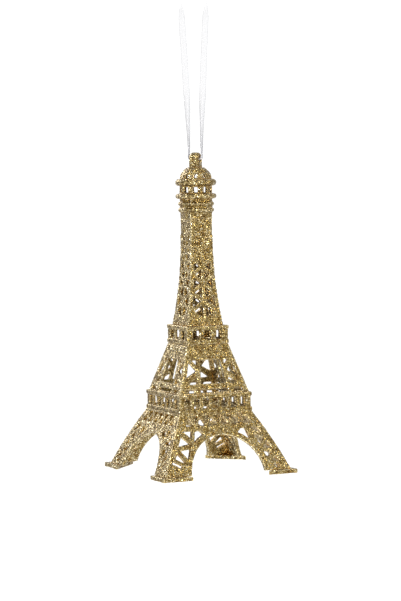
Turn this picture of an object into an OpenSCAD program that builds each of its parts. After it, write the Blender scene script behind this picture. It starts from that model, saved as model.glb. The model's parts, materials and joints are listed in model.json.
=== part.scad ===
// Openwork tower ornament on a ribbon loop: four feet, three tiers of glued
// lattice panels, two square galleries, a round lantern and a hanging eye.
// Units are millimetres. The origin is the top inside of the ribbon loop, where
// a hook or twig carries the ornament, and the tower hangs below it along -Z.

/* [Hanging] */
// Height from the ground plane of the feet up to the inside of the ribbon loop
hang_h = 213; // [200:1:240]
// Height of the hanging hole's centre above the feet
eye_h = 137; // [136.5:0.1:138]
// Diameter of the hanging hole
eye_hole_d = 2.8; // [2.6:0.1:3.2]
// Outer radius of the hanging eye's rounded top
eye_r = 3.1; // [2.8:0.1:3.3]
// Thickness of the hanging eye along its hole
eye_t = 4.5; // [4:0.1:4.6]
// Turn of the hole and of the ribbon's loop about the axis, in degrees
eye_turn = -45; // [-60:1:0]
// Diameter of the ribbon where it is gathered into a round strand
ribbon_d = 1.2; // [1:0.1:1.2]

/* [Base tier] */
// Half the width over the feet
foot_half = 32; // [31:0.5:34]
// Length of a foot along each of its two outer sides
foot_len = 13.9; // [12:0.1:15]
// Thickness of the foot plates
foot_t = 1.7; // [1.2:0.1:2]
// Half the width of the legs just above the foot plates
leg_half = 30; // [29:0.1:30.4]
// How far the legs bow outwards at half their height
leg_bow = 0.55; // [0:0.05:1]
// Radius of the arch under each face, from the ground plane
arch_r = 17.7; // [16:0.1:18]
// Width of the strip that edges each arch
arch_strip = 2.3; // [1.6:0.1:2.5]
// Wall thickness of the base panels
base_t = 1.9; // [1.6:0.1:2.4]

/* [Galleries] */
// Half the width of the first gallery
first_half = 17.5; // [17:0.1:18]
// Height of the first gallery's underside above the feet
first_z = 26.7; // [26:0.1:27.5]
// Height of the first gallery itself
first_h = 8.4; // [8:0.1:9]
// Half the width of the second gallery
second_half = 10.3; // [10:0.1:11]
// Height of the second gallery's underside above the feet
second_z = 56.3; // [56:0.1:57]
// Height of the second gallery itself
second_h = 7.9; // [7:0.1:8.5]
// Wall thickness of the galleries between their rims
gallery_t = 0.9; // [0.8:0.1:1.4]

/* [Middle tier and shaft] */
// Wall thickness of the middle panels
middle_t = 1.3; // [1.2:0.1:2]
// Half the width of the shaft where it leaves the second gallery
shaft_foot_half = 8.5; // [8:0.1:8.8]
// Half the width of the shaft at its top
shaft_top_half = 5.25; // [5:0.05:5.6]
// Wall thickness of the shaft panels
shaft_t = 1.6; // [1.2:0.1:2]

/* [Lantern] */
// Outer radius of the lantern's cage
cage_r = 7.1; // [6.8:0.1:7.4]
// Outer radius of the two rings round the cage
ring_r = 8.95; // [8.4:0.05:9.2]
// Windows round the cage and round the dome, an even number
cage_windows = 10; // [8:2:10]
// Turn of the lantern on the shaft, in degrees
lantern_turn = 9; // [0:1:35]

/* [Hidden] */
// Colours of the finish
gold = [0.62, 0.50, 0.26];
white = [0.93, 0.93, 0.95];

// Heights above the feet
ground = -hang_h;
first_top = first_z + first_h;
second_top = second_z + second_h;
shaft_top = 110.9;
capital_top = 119.9;
cage_top = 128.4;
dome_flat = 133.4;

// Half widths of the middle tier at its foot and its top
middle_foot_half = 16.7;
middle_top_half = 9.95;

// Half the width of a diagonal bar in each tier, which is cut away from both its sides
spandrel_bar = 0.5;
pier_bar = 0.7;
shaft_bar = 0.86;

// Cutters run this far past the surfaces they cut
past = 1;
// Anything wider than the whole tower
wide = 80;

// Names of the four sides and the four corners, with their turns about the axis
sides = ["front", "right", "back", "left"];
corners = ["front_left", "front_right", "back_right", "back_left"];

// ---------------------------------------------------------------- outlines

// Half width of each tier's outer face at a height above the feet
function leg_at(z) =
    let (t = (z - foot_t) / (first_z - foot_t))
    leg_half + (first_half - leg_half) * t + leg_bow * 4 * t * (1 - t);
function middle_at(z) =
    middle_foot_half
    + (middle_top_half - middle_foot_half) * (z - first_top) / (second_z - first_top);
function shaft_at(z) =
    shaft_top_half + (shaft_foot_half - shaft_top_half)
    * pow(max(0, (shaft_top - z) / (shaft_top - second_top)), 2.4);

// A triangle moved in by d from each of its sides, about its inner circle
function side(p, q) = norm(p - q);
function inset(t, d) =
    let (
        a = side(t[1], t[2]),
        b = side(t[2], t[0]),
        c = side(t[0], t[1]),
        p = a + b + c,
        middle = (a * t[0] + b * t[1] + c * t[2]) / p,
        area = abs((t[1][0] - t[0][0]) * (t[2][1] - t[0][1])
            - (t[2][0] - t[0][0]) * (t[1][1] - t[0][1])) / 2,
        inner = 2 * area / p,
        k = max(0.05, (inner - d) / inner)
    )
    [for (v = t) middle + k * (v - middle)];

// One triangular hole of a truss; each corner is [place, height], where place 0
// is the inner post and 1 the outer post
module truss_hole(corners, inner, outer, d) {
    polygon(inset([for (c = corners) [c[0] == 0 ? inner(c[1]) : outer(c[1]), c[1]]], d));
}

// A wall whose outer face follows half_at over the heights, on the front (-Y) side
module wall(half_at, heights, thick) {
    rotate([90, 0, 90])
        linear_extrude(wide, center = true)
            polygon(concat(
                [for (z = heights) [-half_at(z), z]],
                [for (i = [len(heights) - 1:-1:0]) [thick - half_at(heights[i]), heights[i]]]
            ));
}

// The quarter of space in front of the axis, up to the mitred corners
module front_quarter() {
    linear_extrude(wide * 2)
        polygon([[0, 0], [wide, -wide], [-wide, -wide]]);
}

// A face drawn in X and Z, carried back to the axis
module face() {
    rotate([90, 0, 0])
        linear_extrude(wide / 2)
            children();
}

function steps(low, high, n) = [for (i = [0:n]) low + (high - low) * i / n];

// ---------------------------------------------------------------- feet

// Three-cornered plate under a leg, with the lip that stands out on two sides
module foot(turn) {
    inner = foot_half - foot_len;
    color(gold)
        translate([0, 0, ground])
            rotate(turn)
                linear_extrude(foot_t)
                    polygon([[-foot_half, -foot_half], [-inner, -foot_half], [-foot_half, -inner]]);
}

// ---------------------------------------------------------------- base tier

// Hole between the arch and a leg's inner post, before the arch's strip is left
haunch = [[8.2, 18.4], [10.2, 19.8], [12.2, 19.5], [14, 13.4], [11, 14]];

// Holes of a leg's truss in X and height, from the top down. Two opposite legs
// have the first pattern, which ends in a slit, and the other two the second.
slit_leg = [
    [[13.6, 19.8], [17.8, 19.8], [14.4, 16.8]],
    [[19.3, 17.8], [21.4, 13.7], [15.8, 14.6]],
    [[20.8, 12.1], [16, 12.5], [17.6, 8.2]],
    [[22.4, 10.8], [24, 9.1], [19.2, 6.5]],
    [[25.5, 8], [25.7, 7.1], [21.9, 5], [21.1, 5.6]]
];
zigzag_leg = [
    [[14, 19.8], [17.8, 19.8], [19.8, 16.6]],
    [[15.2, 17.8], [20.2, 14.9], [17.7, 12.6]],
    [[21.2, 14.2], [18.8, 11.5], [22.9, 10.5]],
    [[18.3, 9.8], [22.7, 8.8], [20, 7.1]],
    [[24, 7.8], [21.6, 5.7], [25.8, 4.8]],
    [[21.3, 4.5], [25.6, 3.6], [23.6, 2.5]]
];

// Row of triangles between the band over the arch and the first gallery
module spandrel_row() {
    low = 21.3;
    high = first_z - 0.2;
    pitch = 2.75;
    for (i = [-6:4])
        polygon(inset([
            [i * pitch, i % 2 == 0 ? low : high],
            [(i + 1) * pitch, i % 2 == 0 ? high : low],
            [(i + 2) * pitch, i % 2 == 0 ? low : high]
        ], spandrel_bar));
}

// One side of the base tier: two half legs, the arch and the trussed spandrels.
// Its slit leg is on the left of an even side and on the right of an odd one, so
// that both sides of a leg have the same pattern.
module base_panel(number) {
    color(gold)
        translate([0, 0, ground])
            rotate(number * 90)
                mirror([number % 2, 0, 0])
                    intersection() {
                        wall(function (z) leg_at(z), steps(foot_t, first_z, 6), base_t);
                        front_quarter();
                        face()
                            difference() {
                                translate([-foot_half, foot_t])
                                    square([2 * foot_half, first_z - foot_t]);
                                circle(r = arch_r, $fn = 96);
                                spandrel_row();
                                for (s = [0, 1])
                                    mirror([s, 0])
                                        difference() {
                                            polygon(haunch);
                                            circle(r = arch_r + arch_strip, $fn = 96);
                                        }
                                mirror([1, 0])
                                    for (hole = slit_leg)
                                        polygon(hole);
                                for (hole = zigzag_leg)
                                    polygon(hole);
                            }
                    }
}

// ---------------------------------------------------------------- galleries

// Square gallery: a wall with windows between a bottom and a top rim
module gallery(half, low, height, rims, windows, window_w, pitch) {
    seat = 2.8;
    recess = 0.35;
    module frame(outer, inner, h) {
        difference() {
            translate([-outer, -outer, 0])
                cube([2 * outer, 2 * outer, h]);
            translate([-inner, -inner, -past])
                cube([2 * inner, 2 * inner, h + 2 * past]);
        }
    }
    color(gold)
        translate([0, 0, ground + low])
            difference() {
                union() {
                    frame(half, half - seat, rims[0]);
                    translate([0, 0, rims[0]])
                        frame(half - recess, half - recess - gallery_t, height - rims[0] - rims[1]);
                    translate([0, 0, height - rims[1]])
                        frame(half, half - seat, rims[1]);
                }
                for (turn = [0, 90], i = [0:windows - 1])
                    rotate(turn)
                        translate([
                            (i - (windows - 1) / 2) * pitch - window_w / 2,
                            -wide / 2,
                            rims[0] + 0.5
                        ])
                            cube([window_w, wide, height - rims[0] - rims[1] - 1]);
            }
}

module first_gallery() {
    gallery(first_half, first_z, first_h, [1.7, 1.5], 7, 2.8, 4.45);
}

module second_gallery() {
    gallery(second_half, second_z, second_h, [1.6, 1.4], 3, 3.4, 5.5);
}

// ---------------------------------------------------------------- middle tier

// Edges of a pier: its outer and inner posts and the gap between two piers
pier_top = 49.6;
pier_foot = 39.3;
bottom_bar_low = 37.1;
function pier_out(z) = middle_at(z) - 1.9 + pier_bar;
function pier_gap(z) = 4.8 + (pier_top - z) * 0.13;
function pier_in(z) = pier_gap(z) + 1.6 - pier_bar;
pier_truss = [
    [[1, pier_top + pier_bar], [0, pier_top + pier_bar], [0, 45.6]],
    [[1, pier_top + pier_bar], [0, 44.6], [1, 40.6]],
    [[0, 43.6], [1, pier_foot - pier_bar], [0, pier_foot - pier_bar]]
];

// One side of the middle tier: two trussed piers under a solid band
module middle_panel(number) {
    color(gold)
        translate([0, 0, ground])
            rotate(number * 90)
                intersection() {
                    wall(function (z) middle_at(z), [first_top, second_z], middle_t);
                    front_quarter();
                    face()
                        difference() {
                            translate([-first_half, first_top])
                                square([2 * first_half, second_z - first_top]);
                            polygon([
                                [-pier_gap(pier_foot), pier_foot],
                                [pier_gap(pier_foot), pier_foot],
                                [pier_gap(pier_top), pier_top],
                                [-pier_gap(pier_top), pier_top]
                            ]);
                            translate([-6.6, first_top + 0.6])
                                square([13.2, bottom_bar_low - first_top - 0.6]);
                            for (s = [0, 1])
                                mirror([s, 0]) {
                                    translate([9.6, first_top + 0.6])
                                        square([4.3, bottom_bar_low - first_top - 0.6]);
                                    for (hole = pier_truss)
                                        truss_hole(
                                            hole,
                                            function (z) pier_in(z),
                                            function (z) pier_out(z),
                                            pier_bar
                                        );
                                }
                        }
                }
}

// ---------------------------------------------------------------- shaft

// Joints of the shaft's two zigzags, closer together towards the top
shaft_low = second_top + 2.2;
shaft_high = shaft_top - 3.2;
shaft_bays = 12;
open_bays = 6;
pocket_depth = 0.5;
function shaft_joint(i) =
    shaft_low + (shaft_high - shaft_low) * (1 - pow(1 - i / shaft_bays, 1.25));
function shaft_out(z) = shaft_at(z) - 1.75 + shaft_bar;
function shaft_in(z) = 0.7 - shaft_bar;

// Both columns of a panel's triangles, from one joint up to another
module shaft_triangles(low, high) {
    for (s = [0, 1])
        mirror([s, 0])
            for (i = [low:high])
                truss_hole(
                    [for (k = [0:2]) [(i + k) % 2, shaft_joint(i + k)]],
                    function (z) shaft_in(z),
                    function (z) shaft_out(z),
                    shaft_bar
                );
}

// One side of the shaft: two columns of triangles either side of a middle rib,
// open in the lower bays and shallow pockets in the upper ones
module shaft_panel(number) {
    bends = steps(second_top, shaft_top, 8);
    color(gold)
        translate([0, 0, ground])
            rotate(number * 90)
                difference() {
                    intersection() {
                        wall(function (z) shaft_at(z), bends, shaft_t);
                        front_quarter();
                        face()
                            difference() {
                                translate([-second_half, second_top])
                                    square([2 * second_half, shaft_top - second_top]);
                                shaft_triangles(0, open_bays - 1);
                            }
                    }
                    intersection() {
                        wall(function (z) shaft_at(z) + past, bends, past + pocket_depth);
                        face()
                            shaft_triangles(open_bays, shaft_bays - 2);
                    }
                }
}

// ---------------------------------------------------------------- lantern

// Capital: the square top of the shaft, flaring to a round drum with two beads
bead_r = 0.75;
module capital() {
    color(gold)
        translate([0, 0, ground]) {
            translate([-shaft_top_half, -shaft_top_half, shaft_top])
                cube([2 * shaft_top_half, 2 * shaft_top_half, 3]);
            rotate_extrude($fn = 64)
                union() {
                    polygon([
                        [0, shaft_top],
                        [shaft_top_half, shaft_top],
                        [cage_r, 114],
                        [cage_r, capital_top],
                        [0, capital_top]
                    ]);
                    for (z = [114.9, 117.6])
                        translate([cage_r, z])
                            circle(r = bead_r, $fn = 24);
                }
        }
}

// Ring round the cage with a half-round rim
module cage_ring(low, height) {
    rim = height / 2;
    color(gold)
        translate([0, 0, ground + low])
            rotate_extrude($fn = 64)
                union() {
                    translate([cage_r, 0])
                        square([ring_r - rim - cage_r, height]);
                    intersection() {
                        translate([ring_r - rim, rim])
                            circle(r = rim, $fn = 32);
                        translate([cage_r, 0])
                            square([ring_r, height]);
                    }
                }
}

module lower_ring() {
    cage_ring(capital_top, 2.1);
}

module upper_ring() {
    cage_ring(125.6, 2.8);
}

// Window cutters through the axis, so that each cuts two opposite windows
module round_windows(z) {
    for (i = [0:cage_windows / 2 - 1])
        rotate(lantern_turn + i * 360 / cage_windows)
            translate([0, 0, z])
                children();
}

cage_t = 1.3;
cage_window_w = 2.1;
cage_window_h = 2.5;
module lantern_cage() {
    color(gold)
        translate([0, 0, ground])
            difference() {
                translate([0, 0, capital_top])
                    cylinder(r = cage_r, h = cage_top - capital_top, $fn = 64);
                translate([0, 0, capital_top - past])
                    cylinder(r = cage_r - cage_t, h = wide, $fn = 64);
                round_windows(122.5)
                    translate([-cage_window_w / 2, -wide / 2, 0])
                        cube([cage_window_w, wide, cage_window_h]);
            }
}

// Dome: an elliptical shell with a triangular light over each window
dome_r = 6.95;
dome_rise = 5.9;
dome_t = 1.4;
peg_r = 1;
function dome_arc(r, rise, top) = [
    for (i = [0:12])
        let (a = i * asin(min(1, top / rise)) / 12)
        [r * cos(a), cage_top + rise * sin(a)]
];
module dome() {
    flat = dome_flat - cage_top;
    roof_t = 1.2;
    outer = dome_arc(dome_r, dome_rise, flat);
    inner = dome_arc(dome_r - dome_t, dome_rise - roof_t, flat - roof_t);
    color(gold)
        translate([0, 0, ground])
            difference() {
                rotate_extrude($fn = 64)
                    polygon(concat(
                        outer,
                        [[peg_r, dome_flat], [peg_r, dome_flat - roof_t]],
                        [for (i = [12:-1:0]) inner[i]]
                    ));
                round_windows(cage_top + 0.5)
                    rotate([90, 0, 0])
                        linear_extrude(wide, center = true)
                            polygon([[-1, 0], [1, 0], [0, 2.2]]);
            }
}

// Outline of a bar with round corners
module rounded(w, h, r) {
    for (x = [-1, 1], y = [-1, 1])
        translate([x * (w / 2 - r), y * (h / 2 - r)])
            circle(r = r, $fn = 32);
    square([w - 2 * r, h], center = true);
    square([w, h - 2 * r], center = true);
}

// Hanging eye: a thick ring on a tab, with a peg that is glued into the dome
module hanging_eye() {
    peg = 1.2;
    edge_r = 1.4;
    color(gold)
        translate([0, 0, ground]) {
            rotate(eye_turn)
                difference() {
                    union() {
                        translate([0, 0, eye_h])
                            rotate([0, 90, 0])
                                rotate_extrude($fn = 64)
                                    intersection() {
                                        rounded(2 * eye_r, eye_t, edge_r);
                                        translate([0, -eye_t])
                                            square([eye_r, 2 * eye_t]);
                                    }
                        translate([0, 0, dome_flat])
                            linear_extrude(eye_h - dome_flat)
                                rounded(eye_t, 2 * eye_r, edge_r);
                    }
                    translate([-eye_t, 0, eye_h])
                        rotate([0, 90, 0])
                            cylinder(d = eye_hole_d, h = 2 * eye_t, $fn = 48);
                }
            translate([0, 0, dome_flat - peg])
                cylinder(r = peg_r, h = peg + past / 2, $fn = 32);
        }
}

// ---------------------------------------------------------------- ribbon

// Route of one strand in X and Z, from the knot over the loop and down to the eye
strand_route = [
    [1.4, 0.9], [2.9, 0.2], [4.2, -0.9], [5.2, -2.5], [5.8, -4.6], [5.9, -7],
    [5.7, -11], [5.4, -16], [5.1, -22], [4.7, -28], [4.4, -34], [4.1, -40],
    [3.8, -46], [3.5, -52], [3.3, -58], [3.1, -64], [3, -69.6], [3, -72]
];
// Route of the bight through the eye, from its right end to its left end
bight_route = [
    [3, -72], [3.05, -73.8], [2.95, -75], [2.4, -75.75], [0, -76],
    [-2.4, -75.75], [-2.95, -75], [-3.05, -73.8], [-3, -72]
];
tube_sides = 8;

// A tube of round section swept along a route in the upright plane of the loop
module strand(route, flip) {
    n = len(route);
    points = [
        for (i = [0:n - 1])
            let (
                d = route[min(i + 1, n - 1)] - route[max(i - 1, 0)],
                across = [d[1], -d[0]] / norm(d)
            )
            for (k = [0:tube_sides - 1])
                let (a = 360 * k / tube_sides)
                [
                    flip * (route[i][0] + across[0] * cos(a) * ribbon_d / 2),
                    flip * sin(a) * ribbon_d / 2,
                    route[i][1] + across[1] * cos(a) * ribbon_d / 2
                ]
    ];
    rings = [
        for (i = [0:n - 2], k = [0:tube_sides - 1])
            [
                i * tube_sides + k,
                i * tube_sides + (k + 1) % tube_sides,
                (i + 1) * tube_sides + (k + 1) % tube_sides,
                (i + 1) * tube_sides + k
            ]
    ];
    start = [for (k = [tube_sides - 1:-1:0]) k];
    end = [for (k = [0:tube_sides - 1]) (n - 1) * tube_sides + k];
    color(white)
        rotate(eye_turn)
            polyhedron(points, concat(rings, [start, end]), convexity = 4);
}

module ribbon_right() {
    strand(strand_route, 1);
}

module ribbon_left() {
    strand(strand_route, -1);
}

module ribbon_bight() {
    strand(bight_route, 1);
}

// Knot over the loop, with the two short tails of the ribbon
knot_r = 1.9;
module ribbon_knot() {
    tail_w = 2.6;
    tail_t = 0.5;
    tail_len = 9;
    color(white) {
        translate([0, 0, knot_r])
            sphere(r = knot_r, $fn = 32);
        for (s = [-1, 1])
            rotate(eye_turn)
                translate([0, 0, knot_r])
                    rotate([0, s * 32, 0])
                        translate([-tail_t / 2, -tail_w / 2, 0])
                            cube([tail_t, tail_w, tail_len]);
    }
}

// ---------------------------------------------------------------- assembly

for (i = [0:3]) {
    foot(i * 90);
    base_panel(i);
    middle_panel(i);
    shaft_panel(i);
}
first_gallery();
second_gallery();
capital();
lower_ring();
lantern_cage();
upper_ring();
dome();
hanging_eye();
ribbon_right();
ribbon_left();
ribbon_bight();
ribbon_knot();
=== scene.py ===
"""Looks of the hanging tower ornament: glitter-coated lattice pieces, a sheer
ribbon with its knot, soft studio light and the camera. Everything is in metres,
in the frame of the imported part."""

import json
import math

import bmesh
import bpy
import numpy as np
from mathutils import Matrix, Vector


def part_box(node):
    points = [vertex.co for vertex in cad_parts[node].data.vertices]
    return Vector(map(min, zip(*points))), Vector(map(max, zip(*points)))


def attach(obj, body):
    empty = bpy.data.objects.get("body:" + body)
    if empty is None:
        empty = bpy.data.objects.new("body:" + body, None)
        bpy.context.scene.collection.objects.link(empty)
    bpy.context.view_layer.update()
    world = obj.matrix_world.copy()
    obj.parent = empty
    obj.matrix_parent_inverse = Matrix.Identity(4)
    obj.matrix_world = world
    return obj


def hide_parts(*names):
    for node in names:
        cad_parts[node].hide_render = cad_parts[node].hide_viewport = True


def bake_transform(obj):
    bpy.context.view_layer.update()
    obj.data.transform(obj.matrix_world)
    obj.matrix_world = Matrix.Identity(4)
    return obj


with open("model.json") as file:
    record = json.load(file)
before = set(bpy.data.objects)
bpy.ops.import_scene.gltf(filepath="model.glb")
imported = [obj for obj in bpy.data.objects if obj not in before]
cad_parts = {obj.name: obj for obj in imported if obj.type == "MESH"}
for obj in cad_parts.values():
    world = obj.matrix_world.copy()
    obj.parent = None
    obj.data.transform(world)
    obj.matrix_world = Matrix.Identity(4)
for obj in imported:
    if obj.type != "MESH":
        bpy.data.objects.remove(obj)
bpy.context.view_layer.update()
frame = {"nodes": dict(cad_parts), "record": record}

MM = 0.001
SCENE = bpy.context.scene
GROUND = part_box("foot_front_left")[0].z


# ------------------------------------------------------------------ camera

CAMERA_AZIMUTH = math.radians(-25.4)
CAMERA_ELEVATION = math.radians(3.27)
CAMERA_ROLL = math.radians(-0.77)
CAMERA_DISTANCE = 0.9525
# The point looked at: above the ground, and right of the tower's axis
AIM_HEIGHT = 74.9 * MM
AIM_RIGHT = 1.38 * MM
SENSOR_WIDTH = 36
LENS = 129.3


def make_camera():
    """The camera stands in front of the tower's front left corner, a little
    above it."""
    azimuth, elevation, roll = CAMERA_AZIMUTH, CAMERA_ELEVATION, CAMERA_ROLL
    back = Vector((
        math.sin(azimuth) * math.cos(elevation),
        -math.cos(azimuth) * math.cos(elevation),
        math.sin(elevation),
    ))
    right = Vector((math.cos(azimuth), math.sin(azimuth), 0))
    up = back.cross(right)
    side = right * math.cos(roll) + up * math.sin(roll)
    top = up * math.cos(roll) - right * math.sin(roll)
    target = Vector((0, 0, GROUND + AIM_HEIGHT)) + right * AIM_RIGHT
    data = bpy.data.cameras.new("camera")
    data.sensor_width = SENSOR_WIDTH
    data.lens = LENS
    data.clip_start = 0.01
    data.clip_end = 20
    camera = bpy.data.objects.new("camera", data)
    SCENE.collection.objects.link(camera)
    turn = Matrix((side, top, back)).transposed().to_4x4()
    camera.matrix_world = Matrix.Translation(target + back * CAMERA_DISTANCE) @ turn
    SCENE.camera = camera


make_camera()


# ------------------------------------------------------------------ materials

class Nodes:
    """Short calls for building a material's node tree. A value is either a
    socket, which is linked, or a constant."""

    def __init__(self, name):
        self.material = bpy.data.materials.new(name)
        self.material.use_nodes = True
        self.tree = self.material.node_tree
        self.shader = self.tree.nodes["Principled BSDF"]

    def add(self, kind, **settings):
        node = self.tree.nodes.new(kind)
        for key, value in settings.items():
            setattr(node, key, value)
        return node

    def link(self, a, b):
        self.tree.links.new(a, b)

    def put(self, node, values):
        for key, value in values.items():
            if isinstance(value, bpy.types.NodeSocket):
                self.link(value, node.inputs[key])
            else:
                node.inputs[key].default_value = value
        return node

    def math(self, operation, a, b=0.0, c=None):
        node = self.add("ShaderNodeMath", operation=operation)
        values = {0: a, 1: b} if c is None else {0: a, 1: b, 2: c}
        return self.put(node, values).outputs[0]

    def vector(self, operation, a, values=None):
        node = self.add("ShaderNodeVectorMath", operation=operation)
        return self.put(node, {0: a, **(values or {})}).outputs[0]

    def channels(self, value):
        node = self.add("ShaderNodeSeparateColor")
        self.link(value, node.inputs[0])
        return node.outputs

    def ramp(self, value, stops):
        node = self.add("ShaderNodeValToRGB")
        elements = node.color_ramp.elements
        while len(elements) < len(stops):
            elements.new(0.5)
        for element, (place, colour) in zip(elements, stops):
            element.position = place
            element.color = (*colour, 1)
        self.link(value, node.inputs[0])
        return node.outputs[0]

    def mix(self, share, a, b, blend="MIX"):
        """Colour a goes over to b by the share. Inputs 6 and 7 are the colours."""
        node = self.add("ShaderNodeMix", data_type="RGBA", blend_type=blend)
        values = {0: share}
        for place, value in ((6, a), (7, b)):
            is_socket = isinstance(value, bpy.types.NodeSocket)
            values[place] = value if is_socket else (*value, 1)
        return self.put(node, values).outputs[2]


def grey(level):
    return (level, level, level)


BLACK, WHITE = grey(0), grey(1)

# Sizes of one glitter flake and of the finer dust between flakes
FLAKE = 0.34 * MM
DUST = 0.17 * MM
FLAKE_TILT = 1.15
DUST_TILT = 0.45
POLISH_LEAST, POLISH_SPREAD = 0.14, 0.26
# Patches where the coat is darker, per metre
PATCHES = 520.0
# Painted highlight: the coat's edges and bumps are lightened towards this pale gold, by up
# to this share, in place of glints of light there
EDGE_HIGHLIGHT_GOLD = (0.90, 0.79, 0.51)
EDGE_HIGHLIGHT_SHARE = 0.55
# Painted reflected light: inside the tower the light comes off other gold, so in recesses
# within this reach the colour is painted over to a lighter warm brown gold
BOUNCE_LIGHT_REACH = 7 * MM
BOUNCE_LIGHT_GOLD = (0.56, 0.335, 0.085)


def glitter_material():
    """Metallic flakes, each with its own tilt, colour and polish, over fine dust."""
    m = Nodes("gold_glitter")
    place = m.add("ShaderNodeTexCoord").outputs["Object"]

    def cells(size, feature="F1"):
        node = m.add("ShaderNodeTexVoronoi", feature=feature)
        m.put(node, {"Vector": place, "Scale": 1 / size})
        return node

    flakes = cells(FLAKE).outputs["Color"]
    dust = cells(DUST).outputs["Color"]
    gaps = cells(FLAKE, "DISTANCE_TO_EDGE").outputs["Distance"]
    flake_random = m.channels(flakes)

    flake_colour = m.ramp(flake_random[0], [
        (0.0, (0.034, 0.019, 0.003)),
        (0.35, (0.092, 0.060, 0.013)),
        (0.65, (0.185, 0.132, 0.043)),
        (0.86, (0.515, 0.420, 0.202)),
        (1.0, (1.0, 0.96, 0.80)),
    ])
    dust_colour = m.ramp(m.channels(dust)[1], [
        (0.0, (0.05, 0.026, 0.006)),
        (0.55, (0.19, 0.125, 0.038)),
        (1.0, (0.60, 0.48, 0.26)),
    ])
    in_gap = m.ramp(gaps, [(0.02, WHITE), (0.09, BLACK)])
    colour = m.mix(in_gap, flake_colour, dust_colour)
    patches = m.add("ShaderNodeTexNoise")
    m.put(patches, {"Vector": place, "Scale": PATCHES, "Detail": 2.0})
    tint = m.ramp(patches.outputs[0], [
        (0.36, (0.50, 0.40, 0.26)),
        (0.48, (0.88, 0.85, 0.74)),
        (0.66, WHITE),
    ])
    colour = m.mix(1.0, colour, tint, "MULTIPLY")

    geometry = m.add("ShaderNodeNewGeometry")
    # Painted highlight: where the surface is pointy, at edges and flake bumps, the colour
    # goes over to pale gold
    edge = m.ramp(geometry.outputs["Pointiness"], [(0.515, BLACK), (0.6, WHITE)])
    colour = m.mix(m.math("MULTIPLY", edge, EDGE_HIGHLIGHT_SHARE), colour, EDGE_HIGHLIGHT_GOLD)
    # Painted reflected light: the more occluded the surface, the more its colour goes over
    # to the warm brown gold
    occlusion = m.add("ShaderNodeAmbientOcclusion", samples=6)
    m.put(occlusion, {"Distance": BOUNCE_LIGHT_REACH})
    depth = m.ramp(occlusion.outputs["AO"], [(0.15, grey(0.75)), (0.75, BLACK)])
    colour = m.mix(depth, colour, BOUNCE_LIGHT_GOLD)

    def tilts(random_colour, amount):
        centred = m.vector("SUBTRACT", random_colour, {1: grey(0.5)})
        return m.vector("SCALE", centred, {"Scale": amount})

    normal = m.vector("ADD", geometry.outputs["Normal"], {1: tilts(flakes, FLAKE_TILT)})
    normal = m.vector("ADD", normal, {1: tilts(dust, DUST_TILT)})
    normal = m.vector("NORMALIZE", normal)
    polish = m.math("MULTIPLY_ADD", flake_random[1], POLISH_SPREAD, POLISH_LEAST)
    m.put(m.shader, {
        "Base Color": colour,
        "Metallic": 1.0,
        "Roughness": polish,
        "Normal": normal,
    })
    return m.material


# Lengthwise threads in the ribbon's width, and crosswise threads per metre
THREADS_ACROSS = 22
THREADS_ALONG = 5600
THREAD_HEIGHT = 0.02 * MM
SELVEDGE_COVER = 0.55
# The length of run over which the ribbon spreads and gets sheerer
SPREAD_RUN = 60.0 * MM


def ribbon_material(name, cover, spreads):
    """Sheer organza: fine threads both ways, and closed edges that are denser.
    cover is the share that the gaps between the threads block, and the threads
    block twice as much. A ribbon that spreads is gathered at the start of its run
    and sheerer further on."""
    m = Nodes(name)
    place = m.add("ShaderNodeSeparateXYZ")
    m.link(m.add("ShaderNodeTexCoord").outputs["UV"], place.inputs[0])
    across, along = place.outputs[0], place.outputs[1]

    def threads(position, count):
        wave = m.math("SINE", m.math("MULTIPLY", position, 2 * math.pi * count))
        return m.math("MULTIPLY_ADD", wave, 0.5, 0.5)

    lengthwise = threads(across, THREADS_ACROSS)
    weave = m.math("MAXIMUM", lengthwise, threads(along, THREADS_ALONG))
    from_middle = m.math("ABSOLUTE", m.math("SUBTRACT", across, 0.5))
    selvedge = m.ramp(from_middle, [(0.40, BLACK), (0.46, WHITE)])
    alpha = m.math("MULTIPLY_ADD", weave, cover, cover)
    alpha = m.math("ADD", alpha, m.math("MULTIPLY", selvedge, SELVEDGE_COVER))
    if spreads:
        gathered = m.ramp(m.math("MULTIPLY", along, 1 / SPREAD_RUN), [
            (0.18, WHITE),
            (0.29, grey(0.66)),
            (0.45, grey(0.47)),
            (0.56, grey(0.32)),
        ])
        alpha = m.math("MULTIPLY", alpha, gathered)
    colour = m.mix(selvedge, (0.33, 0.33, 0.345), (0.24, 0.24, 0.255))
    bump = m.add("ShaderNodeBump")
    m.put(bump, {"Strength": 0.4, "Distance": THREAD_HEIGHT, "Height": weave})
    m.put(m.shader, {
        "Base Color": colour,
        "Roughness": 0.42,
        "Sheen Weight": 0.3,
        "Alpha": alpha,
        "Normal": bump.outputs[0],
    })
    return m.material


def floor_material():
    m = Nodes("pale_floor")
    m.put(m.shader, {"Base Color": (0.95, 0.95, 0.95, 1), "Roughness": 0.9})
    return m.material


# ------------------------------------------------------------------ ribbon

RIBBON_W = 3.0 * MM
RIBBON_T = 0.07 * MM
RIBBON_COLUMNS = 16
WAVES = 1.5
STRAND_STEP = 0.5
# The loop hangs in the upright plane through the eye's hole
LOOP_TURN = math.radians(-45)
# One strand in that plane, sideways and up, in millimetres, from the knot down to
# the middle of the eye
STRAND = [
    (1.4, 0.9), (2.9, 0.2), (4.2, -0.9), (5.2, -2.5), (5.8, -4.6), (5.9, -7),
    (5.7, -11), (5.4, -16), (5.1, -22), (4.7, -28), (4.4, -34), (4.1, -40),
    (3.8, -46), (3.5, -52), (3.3, -58), (3.1, -64), (3, -69.6), (3, -72),
    (3.05, -73.8), (2.95, -75), (2.4, -75.75), (0, -76),
]


def run_along(line):
    """The distance along the line from its first point to each point."""
    steps = np.linalg.norm(np.diff(line, axis=0), axis=1)
    return np.concatenate([[0], np.cumsum(steps)])


def unit(vectors):
    return vectors / np.linalg.norm(vectors, axis=1)[:, None]


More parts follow.
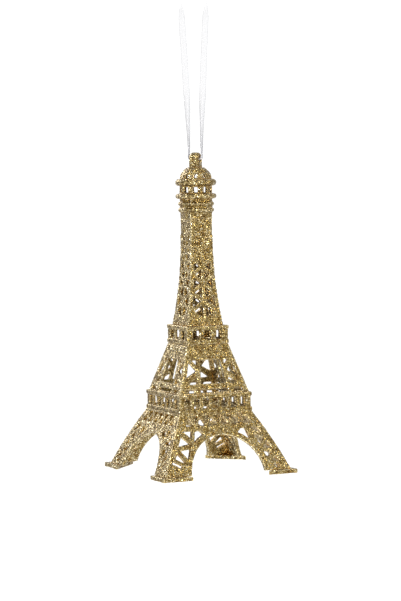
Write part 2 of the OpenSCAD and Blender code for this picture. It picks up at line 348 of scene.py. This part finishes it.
def smooth_line(points, step):
    """A Catmull-Rom curve through the points, as evenly spaced points."""
    p = np.array([points[0], *points, points[-1]], float)
    fine = []
    for a, b, c, d in zip(p, p[1:], p[2:], p[3:]):
        for t in np.linspace(0, 1, 16, endpoint=False):
            fine.append(0.5 * (
                2 * b + (c - a) * t
                + (2 * a - 5 * b + 4 * c - d) * t ** 2
                + (3 * b - a - 3 * c + d) * t ** 3
            ))
    fine = np.array([*fine, p[-1]])
    run = run_along(fine)
    places = np.linspace(0, run[-1], int(round(run[-1] / step)) + 1)
    return np.stack([np.interp(places, run, fine[:, k]) for k in range(fine.shape[1])], 1)


def turned(points):
    """Points of the XZ plane, turned into the plane of the ribbon's loop."""
    c, s = math.cos(LOOP_TURN), math.sin(LOOP_TURN)
    return points @ np.array(((c, s, 0), (-s, c, 0), (0, 0, 1)))


def smoothstep(x, low, high):
    """0 up to low, 1 from high on, and an even curve between them."""
    t = np.clip((x - low) / (high - low), 0, 1)
    return t * t * (3 - 2 * t)


def strip(name, line, across, widths, material):
    """A thin closed band along a line. across is its direction sideways at each
    point; where it is narrower than the ribbon it is gathered into waves. Its UV
    is the share of the width and the run in metres."""
    run = run_along(line)
    along = unit(np.gradient(line, axis=0))
    across = unit(across - (across * along).sum(1)[:, None] * along)
    face = np.cross(along, across)
    places = np.linspace(-0.5, 0.5, RIBBON_COLUMNS + 1)
    bm = bmesh.new()
    uv = bm.loops.layers.uv.new("ribbon")
    rows = []
    for i, width in enumerate(widths):
        fold = max(0.0, (RIBBON_W / width) ** 2 - 1)
        depth = math.sqrt(2 * fold) * width / (2 * math.pi * WAVES)
        row = []
        for s in places:
            height = depth * math.sin(2 * math.pi * WAVES * s + 0.6)
            row.append(bm.verts.new(line[i] + across[i] * s * width + face[i] * height))
        rows.append(row)
    for i in range(len(line) - 1):
        for j in range(RIBBON_COLUMNS):
            corners = ((i, j), (i, j + 1), (i + 1, j + 1), (i + 1, j))
            quad = bm.faces.new([rows[a][b] for a, b in corners])
            quad.smooth = True
            for loop, (a, b) in zip(quad.loops, corners):
                loop[uv].uv = (places[b] + 0.5, run[a])
    mesh = bpy.data.meshes.new(name)
    bm.to_mesh(mesh)
    bm.free()
    obj = bpy.data.objects.new(name, mesh)
    SCENE.collection.objects.link(obj)
    solid = obj.modifiers.new("thickness", "SOLIDIFY")
    solid.thickness = RIBBON_T
    solid.offset = 0
    mesh.materials.append(material)
    return apply_modifiers(obj)


def apply_modifiers(obj):
    """Replaces the object's mesh by the result of its modifiers."""
    graph = bpy.context.evaluated_depsgraph_get()
    result = bpy.data.meshes.new_from_object(obj.evaluated_get(graph))
    obj.modifiers.clear()
    obj.data = result
    return obj


def make_strand(name, side, material):
    """One side of the loop, from the eye up to the knot: its full width in view,
    gathered and turned edge on in the eye and at the knot. Gives its line too."""
    out, up = smooth_line(STRAND, STRAND_STEP)[::-1].T
    line = np.stack([side * out, 0 * out, up], 1) * MM
    spread = smoothstep(up, -72, -46) * (1 - 0.55 * smoothstep(up, -5, 0.5))
    width = (1.45 + 1.55 * spread) * MM
    turn = np.pi / 2 * (1 - smoothstep(up, -75.2, -70) + smoothstep(up, -16, -2))
    through = np.array((0, 1, 0))
    sideways = np.cross(unit(np.gradient(line, axis=0)), through)
    across = sideways * np.cos(turn)[:, None] + through * np.sin(turn)[:, None]
    line = turned(line)
    return strip(name, line, turned(across), width, material), line


KNOT_RINGS = 120
KNOT_SIDES = 12
KNOT_R = 0.62 * MM
KNOT_SCALE = 0.5 * MM
KNOT_CENTRE = Vector((0, 0, 1.9 * MM))
# How far the knot's threads run from one ring to the next
KNOT_RING_RUN = 0.3 * MM


def make_knot(material):
    """Overhand knot of the doubled ribbon: a three-lobed cord pulled tight."""
    bm = bmesh.new()
    uv = bm.loops.layers.uv.new("ribbon")
    angle = np.linspace(0, 2 * np.pi, KNOT_RINGS, endpoint=False)
    line = np.stack([
        np.sin(angle) + 1.6 * np.sin(2 * angle),
        0.9 * np.sin(3 * angle),
        np.cos(angle) - 1.6 * np.cos(2 * angle),
    ], 1) * KNOT_SCALE
    line = turned(line)
    along = np.roll(line, -1, 0) - np.roll(line, 1, 0)
    rings = []
    for i in range(KNOT_RINGS):
        t = Vector(along[i]).normalized()
        u = t.cross(Vector((0, 1, 0.2))).normalized()
        v = t.cross(u)
        ring = []
        for k in range(KNOT_SIDES):
            a = 2 * math.pi * k / KNOT_SIDES
            pleat = 1 + 0.12 * math.sin(4 * a + 0.05 * i)
            oval = u * math.cos(a) * 1.15 + v * math.sin(a) * 0.8
            place = KNOT_CENTRE + Vector(line[i]) + oval * KNOT_R * pleat
            ring.append(bm.verts.new(place))
        rings.append(ring)
    for i in range(KNOT_RINGS):
        for k in range(KNOT_SIDES):
            corners = ((i, k), (i, k + 1), (i + 1, k + 1), (i + 1, k))
            quad = bm.faces.new([rings[a % KNOT_RINGS][b % KNOT_SIDES] for a, b in corners])
            quad.smooth = True
            for loop, (a, b) in zip(quad.loops, corners):
                loop[uv].uv = (b / KNOT_SIDES, a * KNOT_RING_RUN)
    bmesh.ops.recalc_face_normals(bm, faces=bm.faces)
    mesh = bpy.data.meshes.new("ribbon_knot_ties")
    bm.to_mesh(mesh)
    bm.free()
    mesh.materials.append(material)
    knot = bpy.data.objects.new("ribbon_knot_ties", mesh)
    SCENE.collection.objects.link(knot)
    return knot


TAIL_ROWS = 24


def make_tail(name, side, material):
    """Short cut end of the ribbon above the knot, fanning out to its full width."""
    t = np.linspace(0, 1, TAIL_ROWS)
    line = np.stack([
        side * (0.3 + 4.2 * t - 0.5 * np.sin(np.pi * t)),
        side * 0.5 * np.sin(2 * np.pi * t),
        2.2 + 7.2 * t,
    ], 1) * MM
    turn = 0.3 + 0.5 * t
    across = np.stack([0 * t, np.cos(turn), side * np.sin(turn) * 0.4], 1)
    width = (1.3 + 1.7 * smoothstep(t, 0, 0.6)) * MM
    return strip(name, turned(line), turned(across), width, material)


sheer = ribbon_material("sheer_ribbon", 0.304, spreads=True)
knot = make_knot(ribbon_material("sheer_ribbon_tied", 0.44, spreads=False))
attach(knot, "ribbon")
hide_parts("ribbon_knot")
for name, side in (("ribbon_tail_right", 1), ("ribbon_tail_left", -1)):
    tail = make_tail(name, side, sheer)
    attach(tail, "ribbon")
for name, side, nodes in (
    ("ribbon_strand_right", 1, ["ribbon_right", "ribbon_bight"]),
    ("ribbon_strand_left", -1, ["ribbon_left"]),
):
    strand, line = make_strand(name, side, sheer)
    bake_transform(strand)
    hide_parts(*nodes)


# ------------------------------------------------------------------ glitter coat

# Mean thickness of the coat, spacing of its mesh, and size of a raised flake
COAT = 0.07 * MM
COAT_VOXEL = 0.23 * MM
COAT_FLAKE = 0.52 * MM
FLAKE_LEAN = 0.30
FLAKE_LIFT = 0.22
# Size and height of the unevenness of the glue
LUMP = 1.5 * MM
LUMP_HEIGHT = 0.16 * MM
WELD = 0.001 * MM


def scatter(cell, number):
    """A repeatable random share from 0 to 1 for each whole-numbered cell."""
    x, y, z = (cell[:, k].astype(np.int64) for k in range(3))
    n = (x * 73856093) ^ (y * 19349663) ^ (z * 83492791) ^ (number * 39916801)
    n = (n ^ (n >> 13)) * 1274126177
    n = n ^ (n >> 16)
    return (n & 0xFFFFFF) / 0xFFFFFF


def flake_heights(points):
    """How far each point is lifted by the tilted flake that it lies on."""
    cell = np.floor(points / COAT_FLAKE)
    nearest = np.full(len(points), np.inf)
    height = np.zeros(len(points))
    for shift in np.ndindex(3, 3, 3):
        other = cell + np.array(shift) - 1
        jitter = np.stack([scatter(other, k) for k in (1, 2, 3)], 1)
        offset = points / COAT_FLAKE - other - jitter
        distance = (offset ** 2).sum(1)
        closer = distance < nearest
        lean = np.stack([scatter(other, k) for k in (4, 5, 6)], 1) - 0.5
        lift = scatter(other, 7) - 0.5
        value = FLAKE_LEAN * (offset * lean).sum(1) + FLAKE_LIFT * lift
        height[closer] = value[closer]
        nearest[closer] = distance[closer]
    return height * COAT_FLAKE


def lump_heights(points):
    """Smooth unevenness of the glue under the flakes, above and below its middle."""
    place = points / LUMP
    cell = np.floor(place)
    part = place - cell
    part = part * part * (3 - 2 * part)
    height = np.zeros(len(points))
    for corner in np.ndindex(2, 2, 2):
        share = np.where(np.array(corner) == 1, part, 1 - part).prod(1)
        height += share * scatter(cell + np.array(corner), 8)
    return (height - 0.5) * LUMP_HEIGHT


def glitter_piece(node, material):
    """The node's shape with softened edges under a lumpy coat of flakes."""
    mesh = frame["nodes"][node].data.copy()
    mesh.materials.clear()
    bm = bmesh.new()
    bm.from_mesh(mesh)
    bmesh.ops.remove_doubles(bm, verts=bm.verts, dist=WELD)
    bm.to_mesh(mesh)
    bm.free()
    obj = bpy.data.objects.new(node + "_glittered", mesh)
    SCENE.collection.objects.link(obj)
    remesh = obj.modifiers.new("even", "REMESH")
    remesh.mode = "VOXEL"
    remesh.voxel_size = COAT_VOXEL
    remesh.use_smooth_shade = True
    soften = obj.modifiers.new("soften", "SMOOTH")
    soften.factor = 0.5
    soften.iterations = 2
    apply_modifiers(obj)
    mesh = obj.data
    count = len(mesh.vertices)
    points = np.zeros(count * 3)
    normals = np.zeros(count * 3)
    mesh.vertices.foreach_get("co", points)
    mesh.vertex_normals.foreach_get("vector", normals)
    points, normals = points.reshape(-1, 3), normals.reshape(-1, 3)
    lift = COAT + flake_heights(points) + lump_heights(points)
    points = points + normals * lift[:, None]
    mesh.vertices.foreach_set("co", points.ravel())
    mesh.update()
    mesh.materials.append(material)
    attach(obj, "tower")
    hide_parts(node)


glitter = glitter_material()
for node in frame["record"]["behaviour"]["bodies"]["tower"]:
    glitter_piece(node, glitter)


# ------------------------------------------------------------------ studio

FLOOR_DROP = 0.18
FLOOR_R = 3
AIM = Vector((0, 0, GROUND + 0.07))
WORLD_STRENGTH = 1.1


def make_floor():
    """The ornament hangs, so the floor lies well below its feet."""
    bm = bmesh.new()
    bmesh.ops.create_circle(bm, cap_ends=True, radius=FLOOR_R, segments=64)
    mesh = bpy.data.meshes.new("floor")
    bm.to_mesh(mesh)
    bm.free()
    mesh.materials.append(floor_material())
    floor = bpy.data.objects.new("floor", mesh)
    floor.location.z = GROUND - FLOOR_DROP
    SCENE.collection.objects.link(floor)


def make_light(name, place, size, power):
    """A round soft light that shines on the tower's middle."""
    data = bpy.data.lights.new(name, "AREA")
    data.shape = "DISK"
    data.size = size
    data.energy = power
    light = bpy.data.objects.new(name, data)
    light.location = place
    towards = AIM - Vector(place)
    light.rotation_euler = towards.to_track_quat("-Z", "Y").to_euler()
    SCENE.collection.objects.link(light)


def make_world():
    world = bpy.data.worlds.new("studio")
    world.use_nodes = True
    background = world.node_tree.nodes["Background"]
    background.inputs["Color"].default_value = (1, 1, 1, 1)
    background.inputs["Strength"].default_value = WORLD_STRENGTH
    SCENE.world = world


make_floor()
make_light("key", (0.5, -0.8, 0.35), 0.22, 8.0)
make_light("fill", (-0.34, -0.72, -0.2), 0.3, 4.0)
make_light("top", (0.1, -0.1, 0.75), 0.3, 5.0)
make_light("back", (-0.2, 0.8, 0.3), 0.3, 5.0)
make_world()
SCENE.view_settings.view_transform = "Standard"
